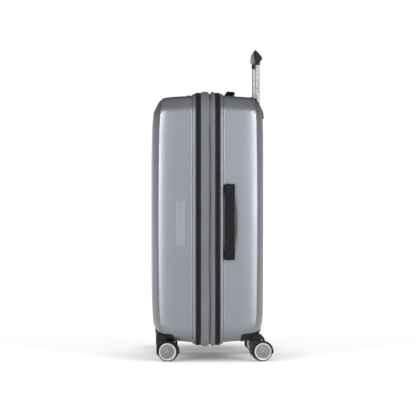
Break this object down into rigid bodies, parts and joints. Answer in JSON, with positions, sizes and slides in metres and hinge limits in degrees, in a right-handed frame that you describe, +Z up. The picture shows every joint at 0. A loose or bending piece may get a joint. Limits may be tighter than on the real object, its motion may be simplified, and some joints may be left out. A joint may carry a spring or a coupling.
{
  "type": "hard shell suitcase on wheels",
  "caption": "Expandable hard-sided suitcase with a hinged lid, zip bands and a fabric gusset, carry handles, a two-stage trolley handle and swivelling twin-wheel casters",
  "frame": {"origin": "middle of the footprint, on the floor the casters stand on", "axes": "+Z up, -Y towards the lid's face, +Y towards the trolley, +X towards the side with the carry handle"},
  "size_m": [0.5305, 0.3493, 0.9002],
  "materials": {
    "shell": "satin silver, fine grain",
    "lining": "woven polyester",
    "zip_tape": "woven tape with a coil",
    "gusset": "soft woven silver-grey",
    "strap": "ribbed webbing",
    "black_plastic": "fine texture",
    "grey_plastic": "fine texture",
    "handle_rubber": "soft touch",
    "tube_aluminium": "anodised",
    "dark_metal": "satin",
    "tyre": "worn matt",
    "hub": "silver, with a dotted mesh",
    "steel": "plain"
  },
  "bodies": {
    "base": {"back_shell": "shell", "back_lining": "lining", "back_zip_tape": "zip_tape", "expansion_gusset": "lining", "rear_corner_guards": "black_plastic", "trolley_bezel": "black_plastic", "trolley_cover": "grey_plastic", "trolley_outer_tubes": "tube_aluminium", "trolley_base_bracket": "black_plastic", "handle_sockets": "black_plastic", "packing_straps": "strap", "strap_buckle": "black_plastic", "rear_screws": "dark_metal"},
    "frame": {"gusset_fabric": "gusset", "frame_hoop": "black_plastic", "frame_main_zip_tape": "zip_tape", "frame_expansion_zip_tape": "zip_tape", "hinge_binding": "zip_tape"},
    "lid": {"front_shell": "shell", "front_lining": "lining", "lid_zip_tape": "zip_tape", "front_corner_guards": "black_plastic", "divider_panel": "lining", "badge_plate": "grey_plastic", "lock_housing": "black_plastic", "front_screws": "dark_metal"},
    "dial_1": {"lock_dial_1": "dark_metal"},
    "dial_2": {"lock_dial_2": "dark_metal"},
    "dial_3": {"lock_dial_3": "dark_metal"},
    "release_button": {"lock_button": "dark_metal"},
    "key_plug": {"lock_key_plug": "dark_metal"},
    "slider_right": {"zip_slider_right": "dark_metal"},
    "slider_left": {"zip_slider_left": "dark_metal"},
    "pull_right": {"zip_pull_right": "dark_metal"},
    "pull_left": {"zip_pull_left": "dark_metal"},
    "slider_expansion": {"expansion_slider": "dark_metal"},
    "trolley_middle": {"trolley_middle_tubes": "tube_aluminium", "middle_tube_bushes": "black_plastic"},
    "trolley_top": {"trolley_inner_tubes": "tube_aluminium", "grip_front": "grey_plastic", "grip_back": "black_plastic"},
    "trolley_button": {"grip_button": "black_plastic"},
    "carry_handle_top": {"top_handle": "handle_rubber"},
    "carry_handle_side": {"side_handle": "handle_rubber"},
    "swivel_front_right": {"fork_front_right": "black_plastic"},
    "wheels_front_right": {"axle_front_right": "steel", "tyres_front_right": "tyre", "hubs_front_right": "hub"},
    "swivel_front_left": {"fork_front_left": "black_plastic"},
    "wheels_front_left": {"axle_front_left": "steel", "tyres_front_left": "tyre", "hubs_front_left": "hub"},
    "swivel_rear_right": {"fork_rear_right": "black_plastic"},
    "wheels_rear_right": {"axle_rear_right": "steel", "tyres_rear_right": "tyre", "hubs_rear_right": "hub"},
    "swivel_rear_left": {"fork_rear_left": "black_plastic"},
    "wheels_rear_left": {"axle_rear_left": "steel", "tyres_rear_left": "tyre", "hubs_rear_left": "hub"}
  },
  "joints": [
    {"name": "expansion_slide", "type": "slide", "parent": "base", "child": "frame", "axis": [0, -1, 0], "range_m": [0, 0.04]},
    {"name": "lid_hinge", "type": "hinge", "parent": "frame", "child": "lid", "pos_m": [-0.258, -0.0409, 0.4075], "axis": [0, 0, -1], "range_deg": [0, 180]},
    {"name": "dial_1_turn", "type": "hinge", "parent": "lid", "child": "dial_1", "pos_m": [-0.024, -0.0637, 0.766], "axis": [1, 0, 0], "continuous": true},
    {"name": "dial_2_turn", "type": "hinge", "parent": "lid", "child": "dial_2", "pos_m": [-0.015, -0.0637, 0.766], "axis": [1, 0, 0], "continuous": true},
    {"name": "dial_3_turn", "type": "hinge", "parent": "lid", "child": "dial_3", "pos_m": [-0.006, -0.0637, 0.766], "axis": [1, 0, 0], "continuous": true},
    {"name": "release_slide", "type": "slide", "parent": "lid", "child": "release_button", "axis": [1, 0, 0], "range_m": [0, 0.003], "stiffness_N_per_m": 300},
    {"name": "key_turn", "type": "hinge", "parent": "lid", "child": "key_plug", "pos_m": [0.028, -0.0633, 0.766], "axis": [0, 0, 1], "range_deg": [0, 90]},
    {"name": "slider_right_run", "type": "slide", "parent": "frame", "child": "slider_right", "axis": [1, 0, 0], "range_m": [0, 0.19]},
    {"name": "slider_left_run", "type": "slide", "parent": "frame", "child": "slider_left", "axis": [-1, 0, 0], "range_m": [0, 0.19]},
    {"name": "pull_right_flip", "type": "hinge", "parent": "slider_right", "child": "pull_right", "pos_m": [0.009, -0.0409, 0.774], "axis": [1, 0, 0], "range_deg": [0, 150]},
    {"name": "pull_left_flip", "type": "hinge", "parent": "slider_left", "child": "pull_left", "pos_m": [-0.009, -0.0409, 0.774], "axis": [1, 0, 0], "range_deg": [0, 150]},
    {"name": "expansion_slider_run", "type": "slide", "parent": "frame", "child": "slider_expansion", "axis": [0, 0, 1], "range_m": [-0.05, 0.5]},
    {"name": "trolley_lower_stage", "type": "slide", "parent": "base", "child": "trolley_middle", "axis": [0, 0, 1], "range_m": [0, 0.14]},
    {"name": "trolley_upper_stage", "type": "slide", "parent": "trolley_middle", "child": "trolley_top", "axis": [0, 0, 1], "range_m": [-0.1245, 0.06]},
    {"name": "grip_button_press", "type": "slide", "parent": "trolley_top", "child": "trolley_button", "axis": [0, 0, -1], "range_m": [0, 0.004], "stiffness_N_per_m": 500},
    {"name": "top_handle_lift", "type": "slide", "parent": "base", "child": "carry_handle_top", "axis": [0, 0.0732, 0.9973], "range_m": [0, 0.0075], "stiffness_N_per_m": 400, "springref_m": -0.004},
    {"name": "side_handle_lift", "type": "slide", "parent": "base", "child": "carry_handle_side", "axis": [0.9965, 0.0836, 0], "range_m": [0, 0.0075], "stiffness_N_per_m": 400, "springref_m": -0.004},
    {"name": "swivel_front_right_turn", "type": "hinge", "parent": "lid", "child": "swivel_front_right", "pos_m": [0.208, -0.1438, 0.0602], "axis": [0, 0, 1], "continuous": true},
    {"name": "wheels_front_right_spin", "type": "hinge", "parent": "swivel_front_right", "child": "wheels_front_right", "pos_m": [0.21082, -0.12602, 0.0275], "axis": [0.9877, -0.1564, 0], "continuous": true},
    {"name": "swivel_front_left_turn", "type": "hinge", "parent": "lid", "child": "swivel_front_left", "pos_m": [-0.208, -0.1438, 0.0602], "axis": [0, 0, 1], "continuous": true},
    {"name": "wheels_front_left_spin", "type": "hinge", "parent": "swivel_front_left", "child": "wheels_front_left", "pos_m": [-0.20988, -0.1259, 0.0275], "axis": [0.9945, 0.1045, 0], "continuous": true},
    {"name": "swivel_rear_right_turn", "type": "hinge", "parent": "base", "child": "swivel_rear_right", "pos_m": [0.208, 0.1246, 0.0602], "axis": [0, 0, 1], "continuous": true},
    {"name": "wheels_rear_right_spin", "type": "hinge", "parent": "swivel_rear_right", "child": "wheels_rear_right", "pos_m": [0.20456, 0.14227, 0.0275], "axis": [0.9816, 0.1908, 0], "continuous": true},
    {"name": "swivel_rear_left_turn", "type": "hinge", "parent": "base", "child": "swivel_rear_left", "pos_m": [-0.208, 0.1246, 0.0602], "axis": [0, 0, 1], "continuous": true},
    {"name": "wheels_rear_left_spin", "type": "hinge", "parent": "swivel_rear_left", "child": "wheels_rear_left", "pos_m": [-0.20674, 0.14256, 0.0275], "axis": [0.9976, -0.0698, 0], "continuous": true}
  ]
}
